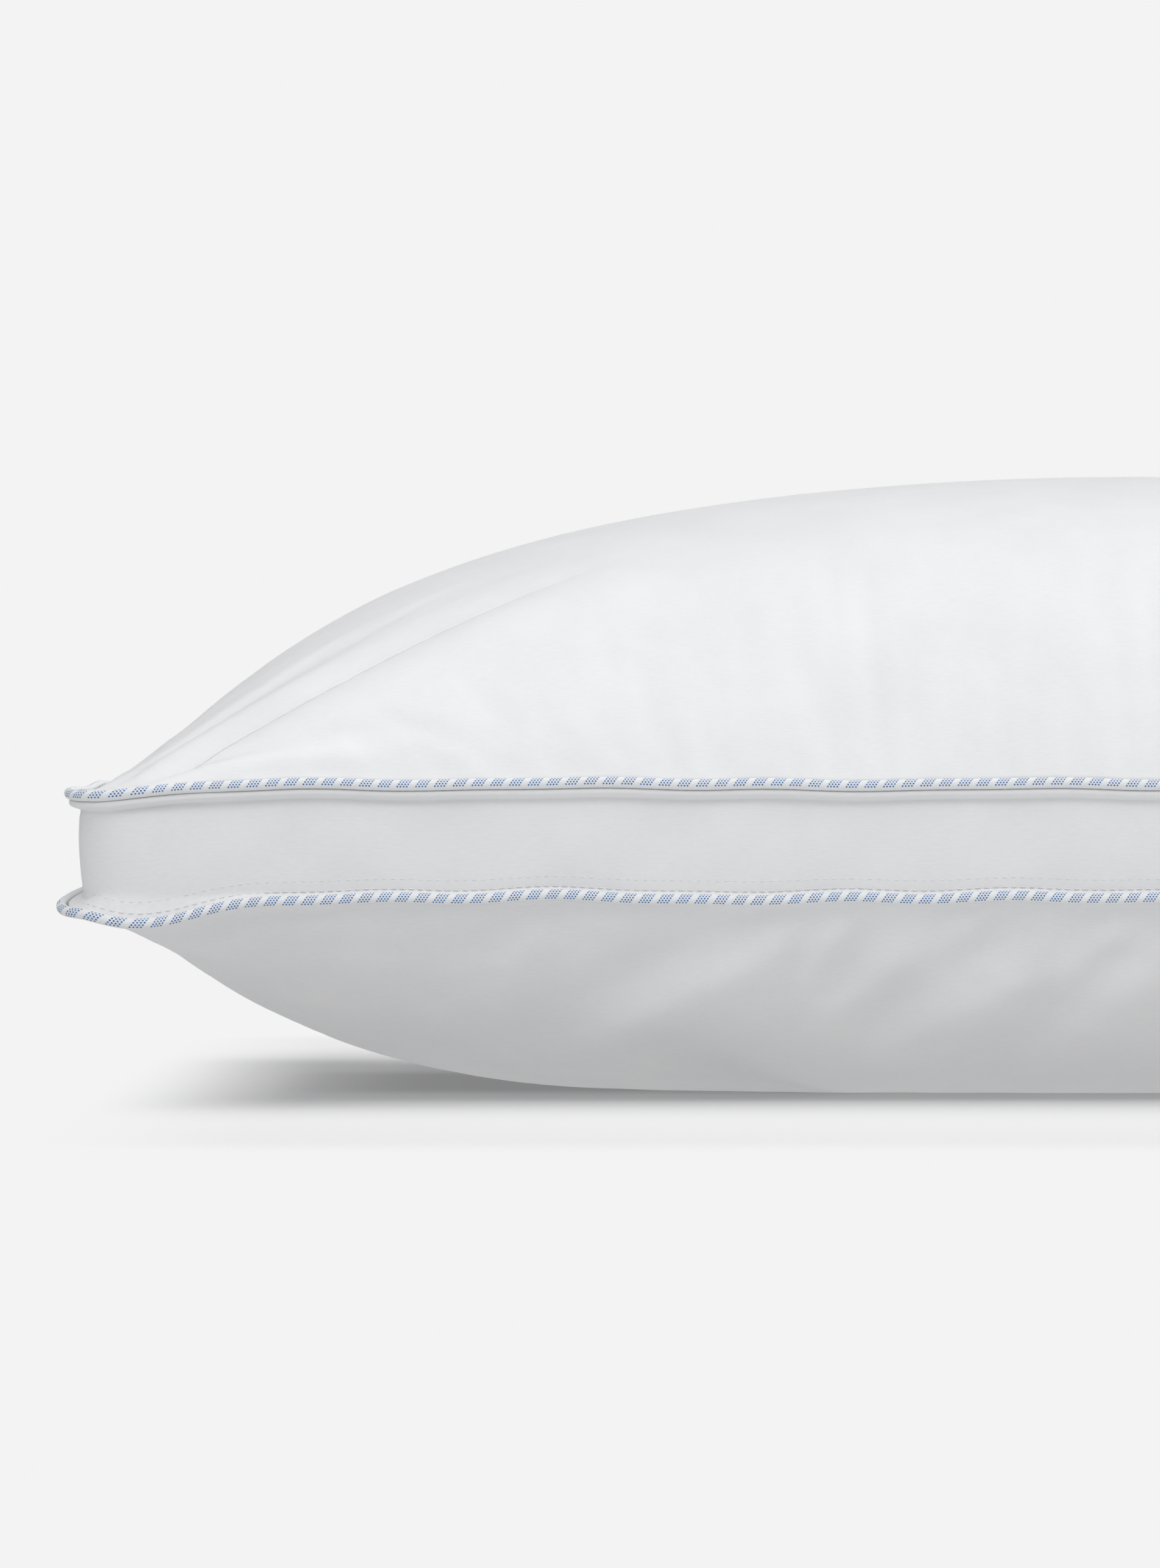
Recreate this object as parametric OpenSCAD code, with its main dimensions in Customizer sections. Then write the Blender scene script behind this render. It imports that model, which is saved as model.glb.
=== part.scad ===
// Gusseted bed pillow: two ticking panels joined by a gusset band, with a row of
// corded piping in each of the two seams and one mass of fibre fill inside.
// Millimetres. +Z up, origin under the middle of the pillow on the surface that it
// rests on, X along the pillow's long side, -Y towards the front.

/* [Filled size] */
// Width between the ends of the gusset, at the corners
pillow_w = 744; // [640:2:900]
// Depth between the long sides of the gusset, at the corners
pillow_d = 492; // [440:2:520]
// Height from the resting surface to the top of the crown
pillow_h = 221; // [170:1:240]
// Radius of the corners in plan
corner_r = 30; // [26:1:40]
// How far the middle of each short end is drawn in by the filling
end_pull = 14; // [0:1:24]
// How far the middle of each long side is drawn in by the filling
side_pull = 24; // [0:1:28]

/* [Gusset] */
// Height of the gusset band between its two seams
gusset_h = 38; // [30:1:60]
// Height of the lower seam above the resting surface
lower_seam_z = 70; // [55:1:80]
// How far the gusset swells out between its seams
gusset_bulge = 1.5; // [0:0.5:3]

/* [Cloth and seams] */
// Thickness of the ticking
ticking_t = 0.5; // [0.4:0.1:0.6]
// Width of the seam allowance that is turned to the inside
allowance = 10; // [6:1:11]
// Diameter of the finished piping
piping_d = 3.7; // [3:0.1:4.5]
// Thickness of the piping's cover strip
piping_cover_t = 0.3; // [0.2:0.05:0.4]
// Diameter of the sewing thread
thread_d = 0.4; // [0.3:0.05:0.5]

/* [Closing seam and label] */
// Length of the closed filling opening in the back of the lower seam
opening_l = 200; // [120:10:260]
// Width of the care label
label_w = 40; // [25:1:60]
// Length of the care label below its seam
label_l = 46; // [30:1:50]
// Distance of the care label's middle from the middle of the pillow
label_x = 245; // [150:5:290]

/* [Hidden] */

half_w = pillow_w / 2;
half_d = pillow_d / 2;
upper_seam_z = lower_seam_z + gusset_h;
gap = 0.05;                              // clearance between sewn layers
flange_half = piping_cover_t + gap / 2;  // half the piping's two-ply flange
rim_z = flange_half + gap;               // a panel's rim above or below its seam
piping_clear = 0.25;                     // between the seam line and the piping's round
cord_share = 0.8;                        // of the room inside the cover

// The puff is the quick rise beside a seam, and the crown is the rest of the height.
puff_h = 6;
puff_run = 8;
crown_h = pillow_h - upper_seam_z - rim_z - puff_h;
sag_h = lower_seam_z - rim_z - puff_h + 1;  // 1 mm too deep, then cut flat at z = 0
crown_power = [2.6, 2.2];                // fullness of the crown along X and Y
sag_power = [5, 3.6];                    // fullness of the underside along X and Y
corner_lift = 0.85;                      // below 1, the corners fill out too

// Rings that a panel is lofted through: insets from the rim, then shares of the last inset.
rim_insets = [3.5, 7, 13, 22];
inner_inset = 22;
inner_shares = [0.9, 0.77, 0.62, 0.46, 0.3, 0.15];
rim_inset = 0.3;
rim_rings = 4;                           // round a panel's turned-in rim
inner_rim_inset = rim_inset + 2.2 * ticking_t;  // of the turned-in rim's inner face
fill_inset = allowance + 2;
fill_gap = 2.2;

// A slope needs a deeper drop than the cloth's thickness, the more so beside a seam.
slope_extra = 0.9;
slope_run = 30;

// Stations round the plan outline.
end_steps = 8;
side_steps = 14;
corner_steps = 4;
half_stations = end_steps / 2 + 2 * corner_steps + side_steps + end_steps / 2;
stations = 2 * half_stations;

// ---- Plan outline ----

// A quarter turn of a corner whose centre is at c, from angle start.
function corner_arc(c, r, start) =
    [for (i = [0:corner_steps - 1])
        let (angle = start + 90 * i / corner_steps) c + r * [cos(angle), sin(angle)]];

// A straight run from a towards b in n steps, without its last point.
function run(a, b, n) = [for (i = [0:n - 1]) a + (b - a) * i / n];

// Half of a rounded rectangle, from the middle of the +X end to that of the -X end.
function half_outline(a, b, r) = concat(
    run([a, 0], [a, b - r], end_steps / 2),
    corner_arc([a - r, b - r], r, 0),
    run([a - r, b], [r - a, b], side_steps),
    corner_arc([r - a, b - r], r, 90),
    run([-a, b - r], [-a, 0], end_steps / 2)
);

// The outline, inset by d (or outset where d is negative), before the sides are drawn in.
function outline(d) =
    let (half = half_outline(half_w - d, half_d - d, max(2, corner_r - d)))
    concat(half, [for (p = half) -p]);

// Draws in the middle of each side.
function drawn_in(p) = [
    p.x * (1 - end_pull / half_w * (1 - pow(p.y / half_d, 2))),
    p.y * (1 - side_pull / half_d * (1 - pow(p.x / half_w, 2)))
];

// One level ring at inset d and height z.
function level_ring(d, z) = [for (p = outline(d)) let (q = drawn_in(p)) [q.x, q.y, z]];

// ---- Crowned surfaces ----

// 1 in the middle of the pillow, falling to 0 at its sides.
function fullness(p, power) =
    let (along_x = 1 - pow(min(1, abs(p.x) / half_w), power.x),
         along_y = 1 - pow(min(1, abs(p.y) / half_d), power.y))
    pow(along_x * along_y, corner_lift);

// Height beside a seam at inset d.
function puff(d) = puff_h * (1 - exp(-d / puff_run));

// A ring on a crowned surface: share k of the outline at inset d, rise above the rim
// sent in direction up, set back towards the inside of the pillow by back.
function crowned_ring(d, k, base, up, height, power, back) =
    [for (p = outline(d))
        let (q = drawn_in(k * p), rise = (k < 1 ? puff_h : puff(d)) + height * fullness(k * p, power))
        [q.x, q.y, base + up * (rise - back)]];

// Both groups of rings, from the first inset to the middle.
function crowned_rings(first, base, up, height, power, back) = concat(
    [for (d = rim_insets) if (d >= first)
        crowned_ring(d, 1, base, up, height, power, back * (1 + slope_extra * exp(-d / slope_run)))],
    [for (k = inner_shares) crowned_ring(inner_inset, k, base, up, height, power, back)]
);

function reversed(list) = [for (i = [len(list) - 1:-1:0]) list[i]];

// ---- Lofted solids ----

function mean_point(ring) = [for (p = ring) 1] * ring / len(ring);

// Two triangles of each square between the ring that starts at point a and the one at b,
// split from a to b or, where crossed is true, the other way.
function strip_faces(a, b, count, closed, crossed = false) =
    [for (i = [0:count - (closed ? 1 : 2)])
        let (j = (i + 1) % count)
        each crossed
            ? [[a + i, a + j, b + i], [a + j, b + j, b + i]]
            : [[a + i, b + j, b + i], [a + i, a + j, b + j]]];

// A closed body through closed rings, with a fan of triangles over each end.
// The rings run anticlockwise from above, and the first is the lowest. The second half of
// them is split the other way, so that a shell's outer and inner faces have the same facets.
module loft(rings) {
    n = len(rings[0]);
    m = len(rings);
    first = n * m;
    points = concat([for (ring = rings) each ring], [mean_point(rings[0]), mean_point(rings[m - 1])]);
    sides = [for (k = [0:m - 2]) each strip_faces((k + 1) * n, k * n, n, true, k >= m / 2 - 1)];
    low_end = [for (i = [0:n - 1]) [first, i, (i + 1) % n]];
    high_end = [for (i = [0:n - 1]) [first + 1, (m - 1) * n + (i + 1) % n, (m - 1) * n + i]];
    polyhedron(points, concat(sides, low_end, high_end));
}

// A section swept right round the outline. It is a list of [outset, z] that runs anticlockwise
// when outset points right and z points up.
module belt(section) {
    rings = [for (s = section) level_ring(-s[0], s[1])];
    n = stations;
    m = len(section);
    faces = [for (k = [0:m - 1]) each strip_faces((k + 1) % m * n, k * n, n, true)];
    polyhedron([for (ring = rings) each ring], faces);
}

// A section swept from station start through count steps, with flat ends. Its points run out
// along one face and back along the other, in pairs, so that pairs of triangles fill each end.
module strap(section, start, count) {
    rings = [for (s = section)
        let (ring = level_ring(-s[0], s[1])) [for (i = [0:count]) ring[(start + i) % stations]]];
    n = count + 1;
    m = len(section);
    faces = [for (k = [0:m - 1]) each strip_faces((k + 1) % m * n, k * n, n, false)];
    start_end = [for (k = [0:m / 2 - 2]) let (a = k, b = k + 1, c = m - 2 - k, d = m - 1 - k)
        each [[a, c, b] * n, [a, d, c] * n]];
    far_end = [for (f = start_end) [f[0], f[2], f[1]] + (n - 1) * [1, 1, 1]];
    polyhedron([for (ring = rings) each ring], concat(faces, start_end, far_end));
}

function round_section(c, r, n) = [for (i = [0:n - 1]) c + r * [cos(360 * i / n), sin(360 * i / n)]];

// ---- Sub-parts ----

// A panel's rings from its outer middle, round its turned-in rim, to its inner middle.
function panel_rings(base, up, height, power) = concat(
    reversed(crowned_rings(0, base, up, height, power, 0)),
    [
        level_ring(rim_inset, base),
        level_ring(allowance, base),
        level_ring(allowance, base + up * ticking_t),
        level_ring(inner_rim_inset, base + up * (ticking_t + gap))
    ],
    crowned_rings(0, base, up, height, power, ticking_t)
);

module top_panel() {
    color("white")
        loft(reversed(panel_rings(upper_seam_z + rim_z, 1, crown_h, crown_power)));
}

// The underside is cut flat where the pillow's weight presses it on the surface below.
module bottom_panel() {
    rings = panel_rings(lower_seam_z - rim_z, -1, sag_h, sag_power);
    below = 10;
    inner_from = (len(rings) + rim_rings) / 2;
    clipped = [for (i = [0:len(rings) - 1])
        [for (p = rings[i]) [p.x, p.y, i < inner_from ? p.z : max(p.z, ticking_t)]]];
    color("white")
        difference() {
            loft(clipped);
            translate([-half_w, -half_d, -below]) cube([pillow_w, pillow_d, below]);
        }
}

// The gusset's wall, with its allowances turned in beside the piping's flanges.
function gusset_section() =
    let (low = lower_seam_z + flange_half + gap, high = upper_seam_z - flange_half - gap,
         middle = (low + high) / 2, t = ticking_t)
    [
        [-allowance, low], [0, low], [gusset_bulge, middle], [0, high], [-allowance, high],
        [-allowance, high - t], [-t, high - t], [gusset_bulge - t, middle], [-t, low + t],
        [-allowance, low + t]
    ];

module gusset_strip(start) {
    color("gainsboro") strap(gusset_section(), start, half_stations);
}

module gusset_front_strip() { gusset_strip(half_stations); }
module gusset_back_strip() { gusset_strip(0); }

// A line of stitches up the inside of each of the two joins between the strips.
module gusset_join_threads() {
    x = half_w - end_pull - ticking_t - thread_d;
    seam_clear = 4;
    color("white")
        for (side = [-1, 1])
            translate([side * x, 0, lower_seam_z + seam_clear])
                cylinder(d = thread_d, h = gusset_h - 2 * seam_clear, $fn = 16);
}

// A strip folded round the cord, with both plies running in between panel and gusset.
function cover_section(z) =
    let (out = piping_d / 2, in = out - piping_cover_t, slit = gap / 2,
         centre = out + piping_clear, lip = 0.1, inner_lip = 0.3 + piping_cover_t, mouth = 24, turns = 6)
    concat(
        [[-allowance, z - flange_half], [lip, z - flange_half]],
        [for (i = [0:turns])
            let (a = 180 + mouth + (360 - 2 * mouth) * i / turns) [centre + out * cos(a), z + out * sin(a)]],
        [[lip, z + flange_half], [-allowance, z + flange_half],
         [-allowance, z + slit], [inner_lip, z + slit]],
        [for (i = [0:turns])
            let (a = 180 - mouth - (360 - 2 * mouth) * i / turns) [centre + in * cos(a), z + in * sin(a)]],
        [[inner_lip, z - slit], [-allowance, z - slit]]
    );

module piping_cover(z) { color("lightsteelblue") belt(cover_section(z)); }
module upper_piping_cover() { piping_cover(upper_seam_z); }
module lower_piping_cover() { piping_cover(lower_seam_z); }

module piping_cord(z) {
    r = cord_share * (piping_d / 2 - piping_cover_t);
    color("ivory") belt(round_section([piping_d / 2 + piping_clear, z], r, 8));
}
module upper_piping_cord() { piping_cord(upper_seam_z); }
module lower_piping_cord() { piping_cord(lower_seam_z); }

// A line of stitches through the allowances, lying on their inner face.
module seam_thread(z, up) {
    stitch_inset = 3.4;
    height = z + up * (rim_z + ticking_t + gap + thread_d / 2);
    color("white") belt(round_section([-stitch_inset, height], thread_d / 2, 6));
}
module upper_seam_thread() { seam_thread(upper_seam_z, 1); }
module lower_seam_thread() { seam_thread(lower_seam_z, -1); }

// The second line of stitches that closes the filling opening, in the middle of the back.
module closing_seam_thread() {
    stitch_inset = 7;
    height = lower_seam_z - rim_z - ticking_t - gap - thread_d / 2;
    y = half_d - stitch_inset - side_pull;
    color("white")
        translate([-opening_l / 2, y, height]) rotate([0, 90, 0])
            cylinder(d = thread_d, h = opening_l, $fn = 16);
}

// A blank ribbon folded in half, its two ends caught in the back of the lower seam.
module care_label() {
    ply = 0.22;
    slit = 0.08;                         // between the two layers
    seam_clear = 0.2;
    y = half_d - side_pull * (1 - pow(label_x / half_w, 2));
    lean = atan(2 * side_pull * label_x / pow(half_w, 2));
    top = lower_seam_z - flange_half - seam_clear;
    color("white")
        translate([label_x, y, top - label_l]) rotate([0, 0, lean])
            difference() {
                translate([-label_w / 2, -ply, 0]) cube([label_w, 2 * ply + slit, label_l]);
                translate([-label_w / 2 - 1, 0, ply]) cube([label_w + 2, slit, label_l]);
            }
}

// One mass of loose fibre. It keeps clear of the turned-in allowances at both seams.
module fibre_fill() {
    low_base = lower_seam_z - rim_z;
    high_base = upper_seam_z + rim_z;
    seam_clear = 2.6;
    wall = 3;
    below = crowned_rings(fill_inset, low_base, -1, sag_h, sag_power, fill_gap);
    above = crowned_rings(fill_inset, high_base, 1, crown_h, crown_power, fill_gap);
    rings = concat(
        [for (ring = reversed(below)) [for (p = ring) [p.x, p.y, max(p.z, fill_gap)]]],
        [
            level_ring(fill_inset, lower_seam_z - seam_clear),
            level_ring(fill_inset, lower_seam_z + seam_clear),
            level_ring(wall, lower_seam_z + 2 * seam_clear),
            level_ring(wall, upper_seam_z - 2 * seam_clear),
            level_ring(fill_inset, upper_seam_z - seam_clear),
            level_ring(fill_inset, upper_seam_z + seam_clear)
        ],
        above
    );
    color("snow") loft(rings);
}

top_panel();
bottom_panel();
gusset_front_strip();
gusset_back_strip();
gusset_join_threads();
upper_piping_cover();
upper_piping_cord();
lower_piping_cover();
lower_piping_cord();
upper_seam_thread();
lower_seam_thread();
closing_seam_thread();
care_label();
fibre_fill();
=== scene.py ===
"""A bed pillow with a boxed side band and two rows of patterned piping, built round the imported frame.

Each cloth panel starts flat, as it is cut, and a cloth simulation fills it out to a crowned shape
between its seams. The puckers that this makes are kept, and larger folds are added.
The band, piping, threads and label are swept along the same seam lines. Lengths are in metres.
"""

import math

import bpy
import numpy as np
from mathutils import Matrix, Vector


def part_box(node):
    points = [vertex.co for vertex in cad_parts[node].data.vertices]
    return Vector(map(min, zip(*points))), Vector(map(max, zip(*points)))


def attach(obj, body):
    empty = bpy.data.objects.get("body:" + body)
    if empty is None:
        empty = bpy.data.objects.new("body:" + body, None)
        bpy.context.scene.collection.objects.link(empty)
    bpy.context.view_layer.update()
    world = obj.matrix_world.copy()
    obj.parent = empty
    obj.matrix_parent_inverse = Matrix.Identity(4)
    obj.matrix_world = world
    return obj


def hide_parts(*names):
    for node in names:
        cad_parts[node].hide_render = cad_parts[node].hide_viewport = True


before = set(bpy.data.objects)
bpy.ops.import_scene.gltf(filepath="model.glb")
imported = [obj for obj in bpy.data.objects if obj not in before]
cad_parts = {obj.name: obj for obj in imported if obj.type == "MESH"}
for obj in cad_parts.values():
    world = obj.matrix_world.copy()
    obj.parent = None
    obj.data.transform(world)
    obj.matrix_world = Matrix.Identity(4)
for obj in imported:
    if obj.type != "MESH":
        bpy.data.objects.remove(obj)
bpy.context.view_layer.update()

MM = 0.001

# ---- Sizes, from the frame ----

top_high = Vector(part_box("top_panel")[1])
upper_low, upper_high = (Vector(c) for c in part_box("upper_piping_cover"))
lower_low, lower_high = (Vector(c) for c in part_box("lower_piping_cover"))
label_low, label_high = (Vector(c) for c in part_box("care_label"))
opening_low, opening_high = (Vector(c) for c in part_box("closing_seam_thread"))

HALF_W = top_high.x  # from the middle to the seam line at a corner, along the long side
HALF_D = top_high.y
UPPER_Z = (upper_low.z + upper_high.z) / 2  # heights of the two seams
LOWER_Z = (lower_low.z + lower_high.z) / 2
PIPING_R = (upper_high.z - upper_low.z) / 2
BAND_H = UPPER_Z - LOWER_Z
CROWN_ROOM = 1.5 * MM  # left above the crown for its folds
CROWN = top_high.z - UPPER_Z - CROWN_ROOM

CORNER_R = 26 * MM
END_PULL = 12 * MM  # how far the middle of a short end is drawn in
SIDE_PULL = 24 * MM  # how far the middle of a long side is drawn in
CUT_HALF_W = 381 * MM  # the panels as cut, from seam to seam
CUT_HALF_D = 254 * MM
CUT_CORNER_R = 34 * MM
ALLOWANCE = 9 * MM
CLOTH_T = 0.4 * MM
COVER_T = 0.3 * MM

# Share of a parabola in each profile, and the power of the rest: across the ends, across the sides.
CROWN_PROFILE = ((0.49, 5.7), (0.5, 6))
SAG_PROFILE = ((0.16, 6.2), (0.3, 6))
SAG = LOWER_Z * 1.104  # past the surface that it rests on, and then pressed flat
END_DROP = 4.5 * MM  # how much lower the top lies beside the short ends than its profile
END_DROP_AT = 0.03  # where this is greatest, as a share of the half width in from the end

# ---- Seam lines ----

STEP = 1.5 * MM  # from one station of a seam to the next
ARC_POINTS = 60  # of a corner, and of a side, while the stations are placed
SIDE_POINTS = 300

# How strongly each corner is tilted, by the signs of its X and Y.
CORNER_TILT = {(-1, -1): 1.0, (1, -1): 0.75, (1, 1): 0.55, (-1, 1): 0.85}
# Bumps along a seam: height, place from the corner (towards the long side is positive), reach.
UPPER_EARS = [(-3.6 * MM, 6 * MM, 26 * MM), (-2.6 * MM, -45 * MM, 40 * MM)]
UPPER_SPREAD = [(1.6 * MM, -8 * MM, 40 * MM)]
LOWER_EARS = [
    (-8.5 * MM, 18 * MM, 24 * MM),
    (-2.6 * MM, -12 * MM, 14 * MM),
    (1.6 * MM, -44 * MM, 22 * MM),
]
LOWER_SPREAD = [(4.6 * MM, -12 * MM, 30 * MM)]
EAR_FADE = 35 * MM  # how far into a panel a corner's tilt reaches
SPREAD_FADE = 60 * MM  # and how far the spread of its seam is felt
SEAM_FADE = 10 * MM  # and how far a seam's small waves reach
UPPER_WAVE = 0.2 * MM
LOWER_WAVE = 0.35 * MM
PLAN_WAVE = 0.15 * MM


def smooth_step(t):
    """0 below 0 and 1 above 1, with a smooth rise between."""
    t = np.clip(t, 0, 1)
    return t * t * (3 - 2 * t)


def drawn_in(x, y):
    """The middle of each side, drawn in by the filling."""
    return (
        x * (1 - END_PULL / HALF_W * (1 - (y / HALF_D) ** 2)),
        y * (1 - SIDE_PULL / HALF_D * (1 - (x / HALF_W) ** 2)),
    )


def seam_outline():
    """The seam line in plan: even stations, outward normals and distances, from the left end's middle.

    It runs anticlockwise seen from above, so the first half is the front.
    """
    w = HALF_W - CORNER_R
    d = HALF_D - CORNER_R
    turn = np.radians(np.linspace(0, 90, ARC_POINTS))
    corners = [(-w, -d, 180), (w, -d, 270), (w, d, 0), (-w, d, 90)]
    knots = [np.array([[-HALF_W, 0]])]
    for cx, cy, start in corners:
        angle = turn + math.radians(start)
        arc = np.stack([cx + CORNER_R * np.cos(angle), cy + CORNER_R * np.sin(angle)], -1)
        share = np.linspace(0, 1, SIDE_POINTS)[1:-1, None]
        knots += [knots[-1][-1] * (1 - share) + arc[0] * share, arc]
    share = np.linspace(0, 1, SIDE_POINTS)[1:, None]
    knots.append(knots[-1][-1] * (1 - share) + knots[0][0] * share)
    line = np.concatenate(knots)
    line = np.stack(drawn_in(line[:, 0], line[:, 1]), -1)
    length = np.concatenate([[0], np.cumsum(np.hypot(*np.diff(line, axis=0).T))])
    count = 2 * round(length[-1] / STEP / 2)
    at = np.arange(count) * length[-1] / count
    points = np.stack([np.interp(at, length, line[:, k]) for k in (0, 1)], -1)
    ahead = np.roll(points, -1, 0) - np.roll(points, 1, 0)
    normals = np.stack([ahead[:, 1], -ahead[:, 0]], -1) / np.hypot(*ahead.T)[:, None]
    return points, normals, at, length[-1]


SEAM, SEAM_OUT, SEAM_AT, SEAM_LENGTH = seam_outline()
STATIONS = len(SEAM)


def corner_bumps(x, y, bumps, fade):
    """A sum of bumps at the four corners, by places in plan, which fade away from the seam."""
    total = np.zeros_like(x)
    for (sx, sy), strength in CORNER_TILT.items():
        from_end = HALF_W - sx * x
        from_side = HALF_D - sy * y
        inset = np.minimum(from_end, from_side)
        for height, place, reach in bumps:
            near = np.exp(-(((from_end - from_side - place) / reach) ** 2) - (inset / fade) ** 2)
            total += strength * height * near
    return total


def waves(size, turns, seed):
    """A small irregular wave round the seam line."""
    phase = np.random.default_rng(seed).uniform(0, 2 * math.pi, len(turns))
    round_share = SEAM_AT / SEAM_LENGTH
    return size * sum(np.sin(2 * math.pi * n * round_share + f) for n, f in zip(turns, phase))


def seam(z, ears, spread, wave_size, seed):
    """A seam: its places in plan moved outwards by spread, and its heights."""
    x, y = SEAM.T
    out = corner_bumps(x, y, spread, SPREAD_FADE) + waves(PLAN_WAVE, (11, 23, 37), seed)
    wave = waves(wave_size, (12, 19, 31, 47), seed + 1)
    height = z + corner_bumps(x, y, ears, EAR_FADE) + wave
    return {"z": z, "ears": ears, "out": out, "wave": wave, "height": height}


UPPER = seam(UPPER_Z, UPPER_EARS, UPPER_SPREAD, UPPER_WAVE, 11)
LOWER = seam(LOWER_Z, LOWER_EARS, LOWER_SPREAD, LOWER_WAVE, 21)


def nearest_station(x, y):
    """The nearest station of the seam line to each point, and its distance."""
    place = np.empty(len(x), int)
    gap = np.empty(len(x))
    for i in range(0, len(x), 2000):
        part = slice(i, i + 2000)
        far = np.hypot(x[part, None] - SEAM[:, 0], y[part, None] - SEAM[:, 1])
        place[part] = far.argmin(1)
        gap[part] = far.min(1)
    return place, gap


# ---- Panel grids ----

CELL = 6 * MM  # of the cloth that is simulated, which is then made twice as fine
NX = 2 * round(CUT_HALF_W / CELL)
NY = 2 * round(CUT_HALF_D / CELL)


def grid_params(nx, ny):
    """Two arrays from -1 to 1, across and along a panel's grid of points."""
    p, q = np.meshgrid(np.linspace(-1, 1, nx + 1), np.linspace(-1, 1, ny + 1))
    return p.ravel(), q.ravel()


def grid_faces(nx, ny):
    """The grid's squares, anticlockwise from above."""
    rows = np.arange((nx + 1) * (ny + 1)).reshape(ny + 1, nx + 1)
    return np.stack([rows[:-1, :-1], rows[:-1, 1:], rows[1:, 1:], rows[1:, :-1]], -1).reshape(-1, 4)


def grid_edge(nx, ny):
    """The grid's outer points in order, anticlockwise from above, from the front left corner."""
    rows = np.arange((nx + 1) * (ny + 1)).reshape(ny + 1, nx + 1)
    return np.concatenate([rows[0, :-1], rows[:-1, -1], rows[-1, :0:-1], rows[:0:-1, 0]])


def cornered(x, y, a, b, r):
    """Points of a rectangle of half sizes a and b, moved so that its corners are arcs of radius r."""
    dx = np.clip((np.abs(x) - (a - r)) / r, 0, None)
    dy = np.clip((np.abs(y) - (b - r)) / r, 0, None)
    pull = np.where((dx > 0) & (dy > 0), np.maximum(dx, dy) / np.maximum(np.hypot(dx, dy), 1e-9), 1)
    return (
        np.sign(x) * (np.minimum(np.abs(x), a - r) + dx * r * pull),
        np.sign(y) * (np.minimum(np.abs(y), b - r) + dy * r * pull),
    )


def profile(s, shape):
    """The height across a panel, from 1 in the middle to 0 at the seams."""
    share, power = shape
    return 1 - share * s**2 - (1 - share) * np.abs(s) ** power


def even_steps(height, shape, half):
    """Where evenly spaced points of a crowned line, from -1 to 1, lie along its chord."""
    s = np.linspace(-1, 1, 801)
    z = height * profile(s, shape)
    length = np.concatenate([[0], np.cumsum(np.hypot(np.diff(s) * half, np.diff(z)))])
    return lambda p: np.interp(p, 2 * length / length[-1] - 1, s)


def filled_panel(p, q, line, height, shapes):
    """A panel's points once it is filled, smooth, between the stations of its seam."""
    along = even_steps(height, shapes[0], HALF_W - END_PULL)
    across = even_steps(height, shapes[1], HALF_D - SIDE_PULL)
    s = p + (1 - np.abs(q) ** 4) * (along(p) - p)
    t = q + (1 - np.abs(p) ** 4) * (across(q) - q)
    x, y = drawn_in(*cornered(s * HALF_W, t * HALF_D, HALF_W, HALF_D, CORNER_R))
    z = line["z"] + height * profile(s, shapes[0]) * profile(t, shapes[1])
    if height > 0:
        near_end = (1 - np.abs(s)) / END_DROP_AT
        z = z - END_DROP * near_end * np.exp(1 - near_end) * profile(t, shapes[1])
    z = z + corner_bumps(x, y, line["ears"], EAR_FADE)
    place, gap = nearest_station(x, y)
    fade = np.exp(-((gap / SEAM_FADE) ** 2))
    x = x + SEAM_OUT[place, 0] * line["out"][place] * fade
    y = y + SEAM_OUT[place, 1] * line["out"][place] * fade
    z = z + line["wave"][place] * fade
    return np.stack([x, y, z], -1)


def cut_panel(p, q):
    """A panel as cut, flat."""
    x, y = cornered(p * CUT_HALF_W, q * CUT_HALF_D, CUT_HALF_W, CUT_HALF_D, CUT_CORNER_R)
    return np.stack([x, y, np.zeros_like(x)], -1)


def doubled(grid):
    """A grid with points added half way between its own, on smooth curves."""
    for axis in (0, 1):
        g = np.moveaxis(grid, axis, 0)
        ends = np.concatenate([2 * g[:1] - g[1:2], g, 2 * g[-1:] - g[-2:-1]])
        finer = np.empty((2 * len(g) - 1,) + g.shape[1:])
        finer[::2] = g
        finer[1::2] = (9 * (g[:-1] + g[1:]) - ends[:-3] - ends[3:]) / 16
        grid = np.moveaxis(finer, 0, axis)
    return grid


# ---- Meshes ----


def new_mesh(name, points, faces, uv=None):
    """A smooth-shaded mesh object. uv holds one pair of metres for each corner of each face."""
    mesh = bpy.data.meshes.new(name)
    mesh.from_pydata(np.asarray(points, float).tolist(), [], np.asarray(faces).tolist())
    if uv is not None:
        layer = mesh.uv_layers.new(name="metres")
        layer.data.foreach_set("uv", np.asarray(uv, np.float32).ravel())
    mesh.shade_smooth()
    obj = bpy.data.objects.new(name, mesh)
    bpy.context.scene.collection.objects.link(obj)
    return obj


def coords(mesh):
    """The places of a mesh's points."""
    flat = np.empty(len(mesh.vertices) * 3)
    mesh.vertices.foreach_get("co", flat)
    return flat.reshape(-1, 3)


def vertex_normals(points, faces):
    """Unit normals of a mesh of squares at its points."""
    a, b, c, d = (points[faces[:, k]] for k in range(4))
    across = np.cross(c - a, d - b)
    total = np.zeros_like(points)
    for k in range(4):
        np.add.at(total, faces[:, k], across)
    return total / np.maximum(np.linalg.norm(total, axis=1, keepdims=True), 1e-15)


def outward(points, faces, uv=None):
    """The faces, and their uv, turned so that a closed mesh's normals point out."""
    a, b, c, d = (points[faces[:, k]] for k in range(4))
    volume = np.einsum("ij,ij->", a, np.cross(b, c)) + np.einsum("ij,ij->", a, np.cross(c, d))
    if volume >= 0:
        return faces, uv
    return faces[:, ::-1], None if uv is None else uv[:, ::-1]


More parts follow.
